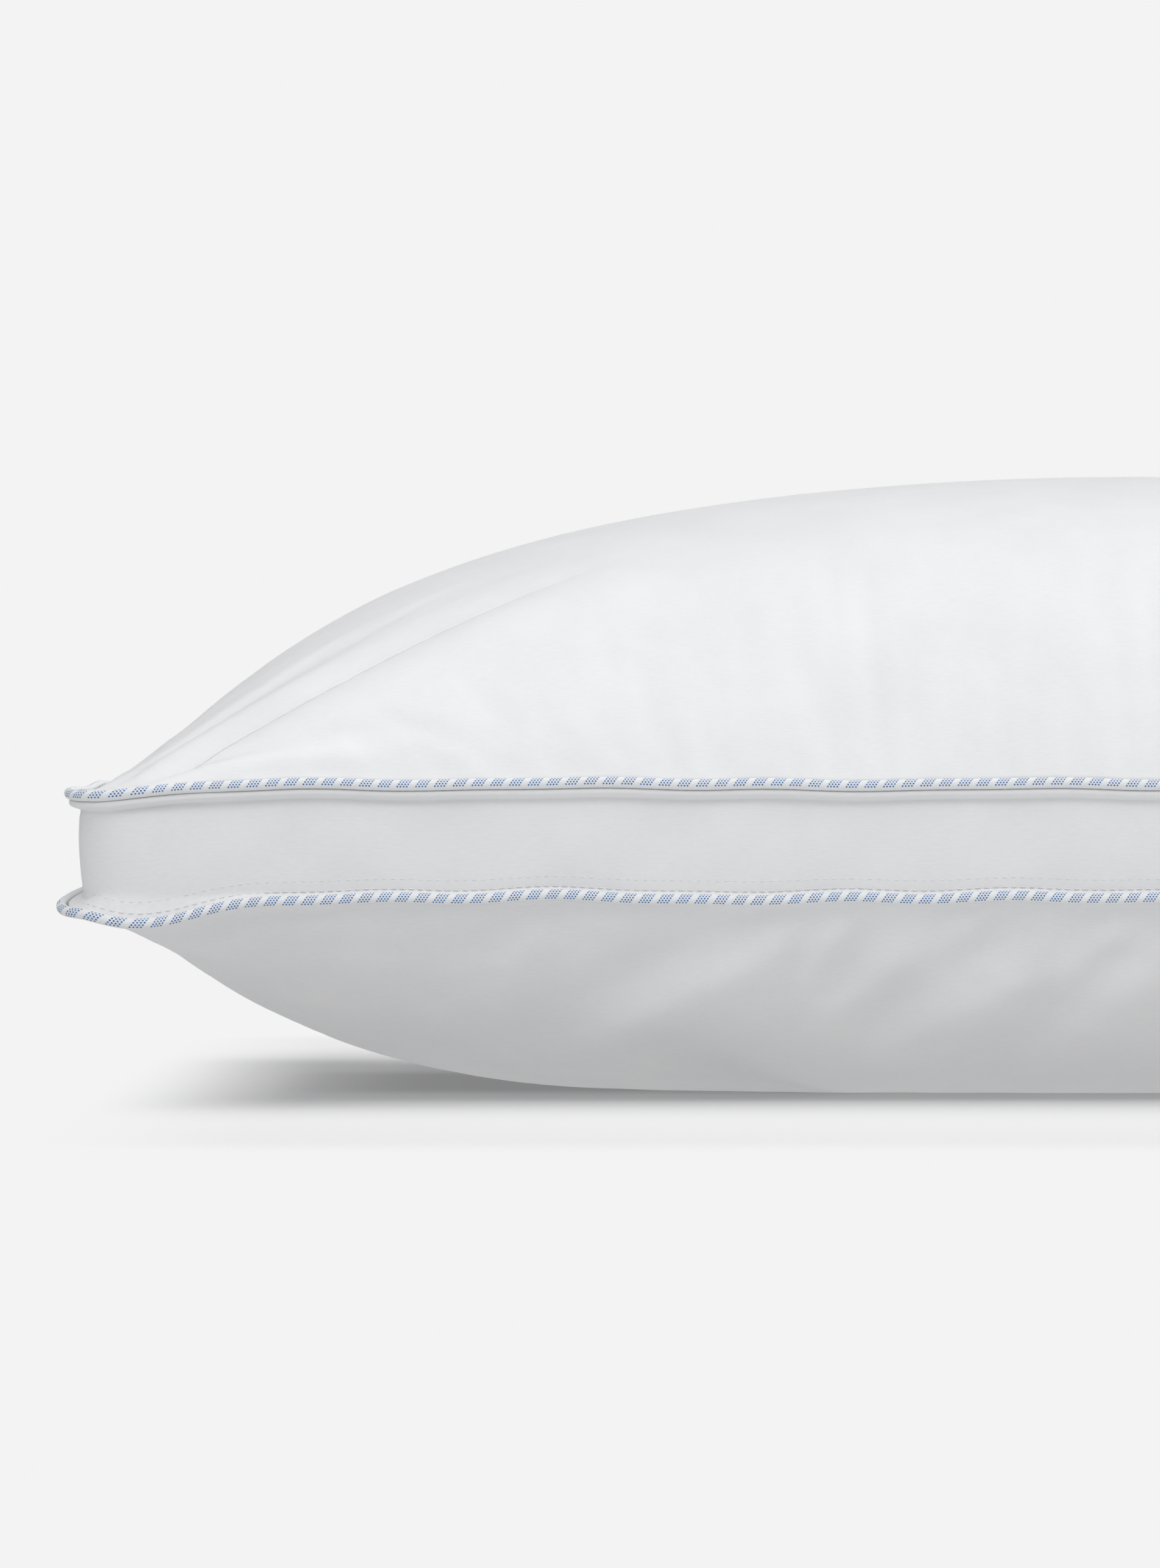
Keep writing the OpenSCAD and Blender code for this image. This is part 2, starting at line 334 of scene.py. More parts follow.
def bridge(a, b):
    """Squares between two closed loops of points."""
    return np.stack([a, b, np.roll(b, -1), np.roll(a, -1)], -1)


# ---- Cloth simulation ----

FRAMES = 36
FILLED_AT = 16  # the frame at which the seams have reached their places
HOLD = 0.2  # how firmly a panel's inner points are drawn to the filled shape
START_DOME = 2 * MM  # a flat panel's rise at its middle, so that it fills to the right side
START_NOISE = 0.3 * MM
CLOTH_SETTINGS = {
    "quality": 7,
    "mass": 0.002,
    "air_damping": 1,
    "tension_stiffness": 15,
    "compression_stiffness": 15,
    "shear_stiffness": 4,
    "bending_model": "ANGULAR",
    "bending_stiffness": 0.3,
    "tension_damping": 0.1,
    "compression_damping": 0.1,
    "shear_damping": 0.1,
    "bending_damping": 0.05,
    "vertex_group_mass": "hold",
    "pin_stiffness": 1,
    "use_pressure": True,
    "uniform_pressure_force": 30,
}


def make_cloth(name, filled):
    """A flat cut panel whose edge is drawn to its filled place while pressure fills it out."""
    p, q = grid_params(NX, NY)
    flat = cut_panel(p, q)
    side = np.sign(filled[len(filled) // 2, 2] - filled[0, 2])
    dome = (1 - (flat[:, 0] / CUT_HALF_W) ** 2) * (1 - (flat[:, 1] / CUT_HALF_D) ** 2)
    noise = np.random.default_rng(3).normal(size=len(flat))
    flat[:, 2] += filled[0, 2] + side * START_DOME * dome + START_NOISE * noise
    faces = grid_faces(NX, NY)
    obj = new_mesh(name, flat, faces if side > 0 else faces[:, ::-1])
    obj.shape_key_add(name="cut")
    key = obj.shape_key_add(name="filled")
    key.data.foreach_set("co", np.asarray(filled, np.float32).ravel())
    key.value = 0
    key.keyframe_insert("value", frame=1)
    key.value = 1
    key.keyframe_insert("value", frame=FILLED_AT)
    edge = grid_edge(NX, NY)
    group = obj.vertex_groups.new(name="hold")
    group.add([int(i) for i in edge], 1.0, "REPLACE")
    group.add([int(i) for i in np.setdiff1d(np.arange(len(flat)), edge)], HOLD, "REPLACE")
    cloth = obj.modifiers.new("cloth", "CLOTH")
    for setting, value in CLOTH_SETTINGS.items():
        setattr(cloth.settings, setting, value)
    cloth.settings.effector_weights.gravity = 0
    cloth.collision_settings.use_collision = False
    cloth.point_cache.frame_start = 1
    cloth.point_cache.frame_end = FRAMES
    return obj


def simulated(starts):
    """The places of each panel's points once its cloth has settled."""
    objects = [make_cloth(f"cloth_{i}", start) for i, start in enumerate(starts)]
    scene = bpy.context.scene
    scene.frame_start = 1
    scene.frame_end = FRAMES
    for number in range(1, FRAMES + 1):
        scene.frame_set(number)
    deps = bpy.context.evaluated_depsgraph_get()
    settled = [coords(o.evaluated_get(deps).data) for o in objects]
    for o in objects:
        bpy.data.objects.remove(o)
    scene.frame_set(1)
    return settled


def blurred(grid, reach_across, reach_along):
    """A grid of moves, averaged over about these many cells each way. Those at the edge are nil."""
    for axis, reach in ((0, reach_across), (1, reach_along)):
        span = int(3 * reach) + 1
        weights = np.exp(-0.5 * (np.arange(-span, span + 1) / reach) ** 2)
        weights /= weights.sum()
        g = np.moveaxis(grid, axis, 0)
        padded = np.concatenate([-g[span:0:-1], g, -g[-2 : -span - 2 : -1]])
        g = sum(w * padded[k : k + len(g)] for k, w in enumerate(weights))
        grid = np.moveaxis(g, 0, axis)
    return grid


PUCKER_ALONG = 8  # in cells: moves that reach further than this along a seam are drift
PUCKER_IN = 2  # and so are moves that reach further than this in from it


def puckers(start, settled, share):
    """The start shape with the small folds of the settled one, without its drift."""
    moves = (settled - start).reshape(NY + 1, NX + 1, 3)
    p, q = (np.abs(a.reshape(NY + 1, NX + 1, 1)) for a in grid_params(NX, NY))
    near_end = p**6 / (p**6 + q**6 + 1e-6)
    drift = near_end * blurred(moves, PUCKER_ALONG, PUCKER_IN)
    drift = drift + (1 - near_end) * blurred(moves, PUCKER_IN, PUCKER_ALONG)
    return start + (moves - drift).reshape(-1, 3) * share[:, None]


# ---- Added folds ----


def fold(points, start, end, height, width):
    """How far a crease and the soft ridge on its right lift the points.

    The crease is a line in plan from start to end, which fades at its ends. The surface rises
    quickly from it, and falls back to its old place over width.
    """
    run = np.subtract(end, start)
    length = np.hypot(*run)
    run = run / length
    rel = points[:, :2] - start
    along = (rel @ run) / length
    right = rel @ np.array([run[1], -run[0]])
    ends = smooth_step(along / 0.15) * smooth_step((1.2 - along) / 0.6)
    ridge = (1 - np.exp(-np.clip(right, 0, None) / (0.25 * width))) * np.exp(-((right / width) ** 2))
    return ends * height * ridge


# From near each corner towards the middle: a main crease and fainter ones beside it. Each has its
# start and end in plan, its height and its width, in millimetres.
TOP_FOLDS = [
    ((-352, -238), (-190, -133), 3.8, 34),
    ((-352, -214), (-262, -158), 0.8, 12),
    ((-318, -196), (-205, -110), 0.8, 16),
    ((214, -150), (352, -232), 2.4, 30),
    ((262, -128), (346, -214), 0.8, 14),
    ((350, 236), (190, 152), 2.8, 32),
    ((356, 214), (300, 120), 0.9, 12),
    ((-232, 146), (-352, 232), 2.4, 30),
    ((-240, 186), (-330, 236), 0.8, 12),
]
SHARP_ABOVE = 2  # millimetres: a fold higher than this has a sharp crease
MAIN_FOLDS = [row for row in TOP_FOLDS if row[2] > SHARP_ABOVE]


def top_folds(points):
    """How far the folds of the top lift its points."""
    lift = np.zeros(len(points))
    for start, end, height, width in TOP_FOLDS:
        lift += fold(points, np.array(start) * MM, np.array(end) * MM, height * MM, width * MM)
    return lift


# Folds of the underside at the front: X and height at the upper and the lower end, then depth and
# width, in millimetres.
FRONT_FOLDS = [
    ((-127, 63), (-205, 25), 3.8, 8),
    ((-115, 65), (-130, 37), 2.4, 5),
    ((-88, 60), (-127, 26), 3.5, 7),
    ((-42, 58), (-112, 17), 4.1, 9),
    ((-20, 65), (-42, 44), 2.7, 6),
    ((-8, 47), (-48, 22), 2.7, 8),
    ((-214, 65), (-232, 43), 2.1, 7),
    ((-70, 66), (-90, 42), 2.0, 6),
]
FOLD_PITCH = 36  # millimetres between the folds elsewhere
FOLD_START = 8 * MM  # below the lower seam, over which they begin
END_CALM = 0.75  # how much weaker they are towards the short ends


def slanting_fold(x, z, upper, lower, depth, width):
    """The lift of a valley between two places in X and height, and of the ridge on its lower right."""
    upper = np.array(upper) * MM
    run = np.array(lower) * MM - upper
    length = np.hypot(*run)
    run = run / length
    along = ((x - upper[0]) * run[0] + (z - upper[1]) * run[1]) / length
    side = 1 if run[0] < 0 else -1
    across = side * ((z - upper[1]) * run[0] - (x - upper[0]) * run[1]) / (width * MM)
    ends = smooth_step((along + 0.2) / 0.45) * smooth_step((1.25 - along) / 0.55)
    return ends * depth * MM * (np.exp(-((across - 0.9) ** 2)) - 0.6 * np.exp(-((across + 0.9) ** 2)))


def further_folds(x, z, first, rng):
    """Irregular slanting folds of the underside, from X first to the right, in millimetres."""
    lift = np.zeros(len(x))
    for place in range(first, 290, FOLD_PITCH):
        start = place + rng.uniform(-9, 9)
        high = rng.uniform(54, 66)
        reach = rng.uniform(20, 75)
        drop = rng.uniform(20, 38)
        depth = rng.uniform(1.4, 3.6)
        width = rng.uniform(5, 9)
        lift += slanting_fold(x, z, (start, high), (start - reach, high - drop), depth, width)
    return lift


def end_dents(x, y, down, rng):
    """Faint upright swells of the underside at the two short ends."""
    lift = np.zeros(len(x))
    for end in (-1, 1):
        here = np.where(x * end > HALF_W * 0.6, 1.0, 0.0)
        for place in np.arange(-150, 160, 34) * MM:
            centre = place + rng.uniform(-8, 8) * MM
            depth = rng.uniform(20, 36) * MM
            width = rng.uniform(7, 11) * MM
            height = rng.uniform(0.3, 0.7) * MM
            near = ((y - centre) / width) ** 2 + ((down - depth) / (18 * MM)) ** 2
            lift += here * height * np.exp(-near)
    return lift


def side_folds(points):
    """How far the soft folds of the underside lift its points, from the lower seam to where it rests."""
    rng = np.random.default_rng(5)
    x, y, z = points.T
    down = LOWER_Z - z
    front = sum(slanting_fold(x, z, *row) for row in FRONT_FOLDS) + further_folds(x, z, 5, rng)
    back = further_folds(x, z, -275, rng)
    lift = np.where(y < 0, front, back) + end_dents(x, y, down, rng)
    calm = 1 - END_CALM * smooth_step((np.abs(x) - 240 * MM) / (70 * MM))
    return lift * calm * np.clip(down / FOLD_START, 0, 1)


REST_ROUND = 1.5 * MM


def pressed(z):
    """Heights with everything under the resting surface pressed up to it, with a small round."""
    return (z + np.sqrt(z**2 + REST_ROUND**2)) / 2


# ---- Panels ----

RIM_GAP = 0.37 * MM  # from a seam's height to the panel or band that is sewn in it
RIM_RISE = 0.05 * MM  # and a little more for the panel's own allowance
FADE_IN = 6 * MM  # from the seam, over which the added folds begin
# The share of the puckers that is kept: at the middle of the long sides, and of all of them.
TOP_PUCKERS = (0.6, 0.45)
BOTTOM_PUCKERS = (0.5, 0.35)


def corner_share(points, middle):
    """1 at the corners and short ends, falling to middle at the middle of the long sides."""
    x, y = points[:, 0] / HALF_W, points[:, 1] / HALF_D
    return middle + (1 - middle) * np.clip(np.abs(x) ** 3 + 0.25 * (1 - y**2) * np.abs(x), 0, 1)


def panel_mesh(name, grid, line, up):
    """A panel as a thin closed shell: the grid, its allowance turned in at the seam, and the inside."""
    ny, nx = grid.shape[0] - 1, grid.shape[1] - 1
    outer = grid.reshape(-1, 3)
    edge = grid_edge(nx, ny)
    p, q = grid_params(nx, ny)
    flat = cut_panel(p, q)[:, :2]
    place, _ = nearest_station(outer[edge, 0], outer[edge, 1])
    rings = []
    flats = []
    for share in (0.5, 1):
        ring = outer[edge].copy()
        ring[:, :2] -= SEAM_OUT[place] * ALLOWANCE * share
        ring[:, 2] = line["height"][place] + up * (RIM_GAP + RIM_RISE)
        rings.append(ring)
        flats.append(flat[edge] * (1 + ALLOWANCE * share / CUT_HALF_D))
    points = np.concatenate([outer] + rings)
    flat = np.concatenate([flat] + flats)
    faces = grid_faces(nx, ny)
    n = len(outer)
    count = len(edge)
    loops = [edge, n + np.arange(count), n + count + np.arange(count)]
    faces = np.concatenate([faces] + [bridge(a, b) for a, b in zip(loops, loops[1:])])
    if up < 0:
        faces = faces[:, ::-1]
    inner = points - CLOTH_T * vertex_normals(points, faces)
    total = len(points)
    last = loops[-1]
    rim = bridge(last, last + total)
    if up < 0:
        rim = rim[:, ::-1]
    every = np.concatenate([faces, faces[:, ::-1] + total, rim])
    flat = np.concatenate([flat, flat])
    both = np.concatenate([points, inner])
    obj = new_mesh(name, both, every, flat[every])
    layer = obj.data.uv_layers.new(name="plan")
    layer.data.foreach_set("uv", np.asarray(both[every][..., :2], np.float32).ravel())
    return obj


def finished_panel(name, start, settled, line, up, height, shapes):
    """A panel's object, from its simulated grid."""
    middle, amount = TOP_PUCKERS if up > 0 else BOTTOM_PUCKERS
    coarse = puckers(start, settled, corner_share(start, middle) * amount)
    grid = doubled(coarse.reshape(NY + 1, NX + 1, 3))
    ny, nx = grid.shape[0] - 1, grid.shape[1] - 1
    points = grid.reshape(-1, 3)
    edge = grid_edge(nx, ny)
    p, q = grid_params(nx, ny)
    points[edge] = filled_panel(p[edge], q[edge], line, height, shapes)
    points[edge, 2] += up * RIM_GAP
    faces = grid_faces(nx, ny)
    normals = up * vertex_normals(points, faces)
    lift = top_folds(points) if up > 0 else side_folds(points)
    gap = nearest_station(points[:, 0], points[:, 1])[1]
    points += normals * (lift * np.clip(gap / FADE_IN, 0, 1))[:, None]
    if up < 0:
        points[:, 2] = pressed(points[:, 2])
    return panel_mesh(name, points.reshape(grid.shape), line, up)


def panels():
    """The top and bottom panels of the ticking."""
    p, q = grid_params(NX, NY)
    top_start = filled_panel(p, q, UPPER, CROWN, CROWN_PROFILE)
    bottom_start = filled_panel(p, q, LOWER, -SAG, SAG_PROFILE)
    starts = [top_start, bottom_start]
    settled = simulated(starts)
    top = finished_panel("top_panel_cloth", top_start, settled[0], UPPER, 1, CROWN, CROWN_PROFILE)
    bottom = finished_panel("bottom_panel_cloth", bottom_start, settled[1], LOWER, -1, -SAG, SAG_PROFILE)
    return top, bottom


# ---- Pieces swept along the seams ----


def ribbon(path, thickness):
    """Closed sections round paths of (outset, height), one for each station."""
    ahead = np.gradient(path, axis=1)
    side = np.stack([-ahead[..., 1], ahead[..., 0]], -1)
    side /= np.maximum(np.linalg.norm(side, axis=-1, keepdims=True), 1e-12)
    half = side * thickness / 2
    return np.concatenate([path + half, (path - half)[:, ::-1]], 1)


def path_lengths(path):
    """Distances along the middle station's path, from its middle."""
    steps = np.hypot(*np.diff(path[len(path) // 2], axis=0).T)
    length = np.concatenate([[0], np.cumsum(steps)])
    return length - length[-1] / 2


def placed(sections, stations):
    """Sections of (outset, height) set on the seam line's stations."""
    plan = SEAM[stations, None] + SEAM_OUT[stations, None] * sections[..., :1]
    return np.concatenate([plan, sections[..., 1:]], -1)


def swept(name, points, at, around, closed):
    """A tube through closed sections. at and around are its uv along and across, in metres."""
    count, sides = points.shape[:2]
    index = np.arange(count * sides).reshape(count, sides)
    ahead = np.roll(index, -1, 0)
    last = count if closed else count - 1
    faces = np.stack([index, ahead, np.roll(ahead, -1, 1), np.roll(index, -1, 1)], -1)[:last]
    u = np.append(at, at[-1] + (at[1] - at[0]))
    v = np.append(around, around[0])
    corners = []
    for a, b in ((0, 0), (1, 0), (1, 1), (0, 1)):
        corners.append(np.stack(np.meshgrid(u[a : a + last], v[b : b + sides], indexing="ij"), -1))
    faces = faces.reshape(-1, 4)
    uv = np.stack(corners, 2).reshape(-1, 4, 2)
    flat = points.reshape(-1, 3)
    if not closed:
        for row in (index[0], index[-1][::-1]):
            caps = np.stack([row[:-1], row[1:], row[-2::-1], row[:0:-1]], -1)[: sides // 2 - 1]
            faces = np.concatenate([faces, caps])
            uv = np.concatenate([uv, np.zeros((len(caps), 4, 2))])
    faces, uv = outward(flat, faces, uv)
    return new_mesh(name, flat, faces, uv)


def tube(name, centres, radius, sides, at, across):
    """A closed ring of round thread or cord, whose sections stand upright across its line."""
    angle = np.linspace(0, 2 * math.pi, sides, endpoint=False)[None, :, None]
    offset = across[:, None] * np.cos(angle) + np.array([0, 0, 1]) * np.sin(angle)
    return swept(name, centres[:, None] + radius * offset, at, radius * angle.ravel(), True)


PIPING_OUT = 2 * MM  # from the seam line to the middle of the piping
BAND_INSET = 2 * MM  # the band's face behind its seams
BAND_BULGE = 1.7 * MM
ROLL_BELOW = 4.8 * MM  # how far the roll of allowance reaches below the upper seam
ROLL_OUT = 2.4 * MM
ROLL_CLEAR = 0.42 * MM  # between the piping and the middle of the roll's cloth
FLARE = 1.6 * MM  # the height over which the band turns out to its lower seam
CORNER_LIP = 7 * MM  # and how much higher this starts at a corner
LIP_BUMP = (1, 17 * MM, 22 * MM)  # where on the seam line that is
ROLL_RISE = 1.6 * MM  # the height over which the roll stands out from the band
ROLL_EDGE = 0.4 * MM
GROOVE = (0.25 * MM, 1.3 * MM, 1.2 * MM)  # below the roll: its depth, its distance from the roll, its reach
DENT = 0.35 * MM
SMALL_DENT = 0.3 * MM
GATHER = 0.22 * MM  # of fine upright gathers above the lower seam's corners
GATHER_TURN = 0.8 * MM
GATHER_AT = (4 * MM, 3.5 * MM)  # their height above the seam, and their reach


def hump(x, middle, reach):
    """1 at the middle, falling smoothly to nothing beyond the reach."""
    return np.exp(-(((x - middle) / reach) ** 2))


def band_face(share, stations):
    """Outset and height of the band's outer face, at shares of the way up from the lower seam."""
    foot, head, spread, high_spread, along = (
        values[stations][:, None]
        for values in (LOWER["height"], UPPER["height"], LOWER["out"], UPPER["out"], SEAM_AT)
    )
    low = foot + RIM_GAP + CLOTH_T
    high = head - RIM_GAP - CLOTH_T
    z = low + (high - low) * share
    up = z - foot
    down = head - z
    turn = along / SEAM_LENGTH * 2 * math.pi
    swell = np.sin(math.pi * share)
    dents = DENT * np.sin(37 * turn + 2.2 * up / BAND_H) * swell
    dents = dents + SMALL_DENT * np.sin(61 * turn + 1.3 - 3 * share) * swell**2
    face = -BAND_INSET + BAND_BULGE * swell + dents + high_spread * share
    near = corner_bumps(*SEAM[stations].T, [LIP_BUMP], SPREAD_FADE)[:, None]
    flare = np.clip(1 - (up - RIM_GAP - CLOTH_T) / (FLARE + CORNER_LIP * near), 0, 1) ** 0.8
    roll = smooth_step((ROLL_BELOW + ROLL_EDGE - down) / ROLL_RISE)
    hug = PIPING_OUT - np.sqrt(np.clip((PIPING_R + ROLL_CLEAR) ** 2 - down**2, 0, None))
    roll_out = high_spread + np.clip(hug, 0, ROLL_OUT)
    out = face * (1 - flare) * (1 - roll) + spread * flare + roll_out * roll
    out = out + GATHER * np.sin(along / GATHER_TURN) * near * hump(up, *GATHER_AT)
    depth, below, reach = GROOVE
    return out - depth * hump(down, ROLL_BELOW + below, reach), z


# Heights of the band's rows of points: upwards from its lower seam, and downwards from its upper one.
BAND_ROWS_UP = [0, 0.3, 0.7, 1.2, 1.8, 2.5, 3.3, 4.2, 5.2, 6.3, 7.6, 9, 11, 14, 17.5, 21]
BAND_ROWS_DOWN = [0, 0.5, 1, 1.4, 1.75, 2, 2.2, 2.4, 2.8, 3.4, 4, 4.5, 5, 5.5, 6, 6.6, 7.6, 9.2, 11.5, 14]
BAND_LEVELS = np.concatenate([
    np.array(BAND_ROWS_UP) * MM / BAND_H,
    1 - np.array(BAND_ROWS_DOWN[::-1]) * MM / BAND_H,
])


JOIN_DIP = 0.8 * MM  # how far the band is drawn in along its two upright joins
JOIN_REACH = 2.2 * MM
JOIN_GAP = 0.3 * MM  # between the two strips


def band_strip(name, first):
    """One strip of the band, from the middle of one short end to the other, with its allowances."""
    stations = (first + np.arange(STATIONS // 2 + 1)) % STATIONS
    out, z = band_face(BAND_LEVELS, stations)
    inward = -ALLOWANCE * np.array([1, 0.6, 0.2])
    level = np.ones((len(stations), 3))
    lower = np.stack([level * inward, level * z[:, :1]], -1)
    upper = np.stack([level * inward[::-1], level * z[:, -1:]], -1)
    path = np.concatenate([lower, np.stack([out, z], -1), upper], 1)
    ends = np.minimum(np.arange(len(stations)), np.arange(len(stations))[::-1]) * STEP
    path[:, 3:-3, 0] -= JOIN_DIP * hump(ends, 0, JOIN_REACH)[:, None]
    sections = placed(ribbon(path, CLOTH_T), stations)
    half = path_lengths(path)
    at = np.arange(len(stations)) * STEP
    centre = sections[[0, -1]].mean(1)
    ahead = sections[[1, -2]].mean(1) - centre
    trim = JOIN_GAP / 2 * ahead / np.linalg.norm(ahead, axis=1, keepdims=True)
    sections[0] += trim[0]
    sections[-1] += trim[1]
    return swept(name, sections, at, np.concatenate([half, half[::-1]]), False)


PLY_GAP = 0.04 * MM  # between the cover's two plies in the seam
PLY_END = 1.2 * MM  # from the seam line to where the plies part round the cord
CORD_GAP = 0.1 * MM


def piping_cover(name, line):
    """The piping's cover: a strip round the cord whose two edges run into the seam."""
    turn = np.radians(np.linspace(-172, 172, 29))
    r = PIPING_R - COVER_T / 2
    flat = np.array([-ALLOWANCE, -ALLOWANCE / 2, -PLY_END])
    ply = (COVER_T + PLY_GAP) / 2
    across = np.concatenate([flat, PIPING_OUT + r * np.cos(turn), flat[::-1]])
    up = np.concatenate([np.full(3, -ply), r * np.sin(turn), np.full(3, ply)])
    path = np.stack([across + line["out"][:, None], up + line["height"][:, None]], -1)
    half = path_lengths(path)
    sections = placed(ribbon(path, COVER_T), np.arange(STATIONS))
    return swept(name, sections, SEAM_AT, np.concatenate([half, half[::-1]]), True)


def piping_cord(name, line):
    """The filler cord inside a piping's cover."""
    plan = SEAM + SEAM_OUT * (PIPING_OUT + line["out"])[:, None]
    centres = np.concatenate([plan, line["height"][:, None]], 1)[::2]
    across = np.concatenate([SEAM_OUT, np.zeros((STATIONS, 1))], 1)[::2]
    return tube(name, centres, PIPING_R - COVER_T - CORD_GAP, 12, SEAM_AT[::2], across)


THREAD_R = 0.2 * MM
STITCH = 3 * MM
STITCH_DIP = 0.3 * MM  # how far a thread goes up and down through the cloth


def thread_ring(share, lift):
    """Places round the pillow of a thread that runs over and under the band's cloth."""
    count = STATIONS * 3
    at = np.arange(count) * SEAM_LENGTH / count
    ring = np.arange(STATIONS + 1) % STATIONS
    base = np.append(SEAM_AT, SEAM_LENGTH)

    def fine(values):
        """Values at the ring's stations, spread over the thread's points."""
        return np.stack([np.interp(at, base, column) for column in values.T], -1)

    out, z = band_face(np.array([share]), ring)
    phase = 2 * math.pi * round(SEAM_LENGTH / STITCH) * at / SEAM_LENGTH
    dip = np.clip(0.55 + np.cos(phase), -0.6, 1) * STITCH_DIP
    normal = fine(SEAM_OUT[ring])
    normal /= np.hypot(*normal.T)[:, None]
    plan = fine(SEAM[ring]) + normal * (fine(out) + lift + dip[:, None])
    across = np.concatenate([normal, np.zeros((count, 1))], 1)
    return np.concatenate([plan, fine(z)], 1), across, at


def seam_thread(name, rows):
    """The stitches of a seam, each row one closed thread."""
    pieces = []
    for i, (share, lift) in enumerate(rows):
        centres, across, at = thread_ring(share, lift)
        pieces.append(tube(f"{name}_{i}", centres, THREAD_R, 5, at, across))
    return joined(name, pieces)


def joined(name, pieces):
    """Several meshes as one object."""
    if len(pieces) > 1:
        with bpy.context.temp_override(active_object=pieces[0], selected_editable_objects=pieces):
            bpy.ops.object.join()
    pieces[0].name = name
    pieces[0].data.name = name
    return pieces[0]


UV_STEP = 0.4 * MM  # of a short thread's uv, from one of its points to the next


def short_thread(name, points, radius):
    """An open thread along points, narrower at its ends."""
    ahead = np.gradient(points, axis=0)
    ahead /= np.linalg.norm(ahead, axis=1, keepdims=True)
    side = np.cross(ahead, [0.31, 0.17, 0.93])
    side /= np.linalg.norm(side, axis=1, keepdims=True)
    other = np.cross(ahead, side)
    angle = np.linspace(0, 2 * math.pi, 6, endpoint=False)
    slim = np.sqrt(np.clip(1 - np.abs(np.linspace(-1, 1, len(points))) ** 6, 0.04, 1))
    ring = side[:, None] * np.cos(angle)[None, :, None] + other[:, None] * np.sin(angle)[None, :, None]
    sections = points[:, None] + radius * slim[:, None, None] * ring
    return swept(name, sections, np.arange(len(points)) * UV_STEP, radius * angle, False)


JOIN_STITCH = 2.6 * MM
JOIN_INSET = 0.85 * MM  # the join's thread, behind the band's face
JOIN_STITCH_DIP = 0.25 * MM


def join_threads():
    """The stitches of the two joins of the band, at the middle of the short ends."""
    pieces = []
    share = np.linspace(0.06, 0.86, 120)
    dip = np.clip(0.5 + np.cos(2 * math.pi * share * BAND_H / JOIN_STITCH), -0.5, 1) * JOIN_STITCH_DIP
    for station in (0, STATIONS // 2):
        out, z = band_face(share, np.array([station]))
        plan = SEAM[station] + SEAM_OUT[station] * (out[0] - JOIN_INSET + dip)[:, None]
        line = np.concatenate([plan, z[0][:, None]], 1)
        pieces.append(short_thread(f"join_{station}", line, THREAD_R))
    return joined("gusset_join_stitches", pieces)


CLOSING_R = 0.24 * MM
CLOSING_BOW = 0.25 * MM
CLOSING_LIFT = 0.12 * MM


def closing_stitches():
    """Slanting hand stitches that close the filling opening, at the back of the lower seam."""
    pieces = []
    middle = STATIONS * 3 // 4
    reach = round((opening_high.x - opening_low.x) / 2 / STEP)
    share = np.linspace(0.02, 0.075, 9)
    pick = np.arange(len(share))
    bow = CLOSING_BOW * np.sin(np.linspace(0, math.pi, len(share)))
    for first in range(middle - reach, middle + reach, 3):
        stations = first + np.linspace(0, 1.6, len(share))
        near = np.floor(stations).astype(int)
        out, z = band_face(share, near)
        plan = SEAM[near] + (SEAM[near + 1] - SEAM[near]) * (stations - near)[:, None]
        plan = plan + SEAM_OUT[near] * (out[pick, pick] + bow + CLOSING_LIFT)[:, None]
        pieces.append(short_thread(f"close_{first}", np.c_[plan, z[pick, pick]], CLOSING_R))
    return joined("closing_stitches", pieces)


LABEL_T = 0.2 * MM
LABEL_FOLD_R = 0.8 * MM
LABEL_OUT = 1.2 * MM  # the label's middle, outside the seam line
LABEL_PINCH = 7 * MM  # below the seam, over which its two layers part
LABEL_CURL = 1.6 * MM
LABEL_TWIST = 1.1 * MM
LABEL_RIPPLE = 0.5 * MM


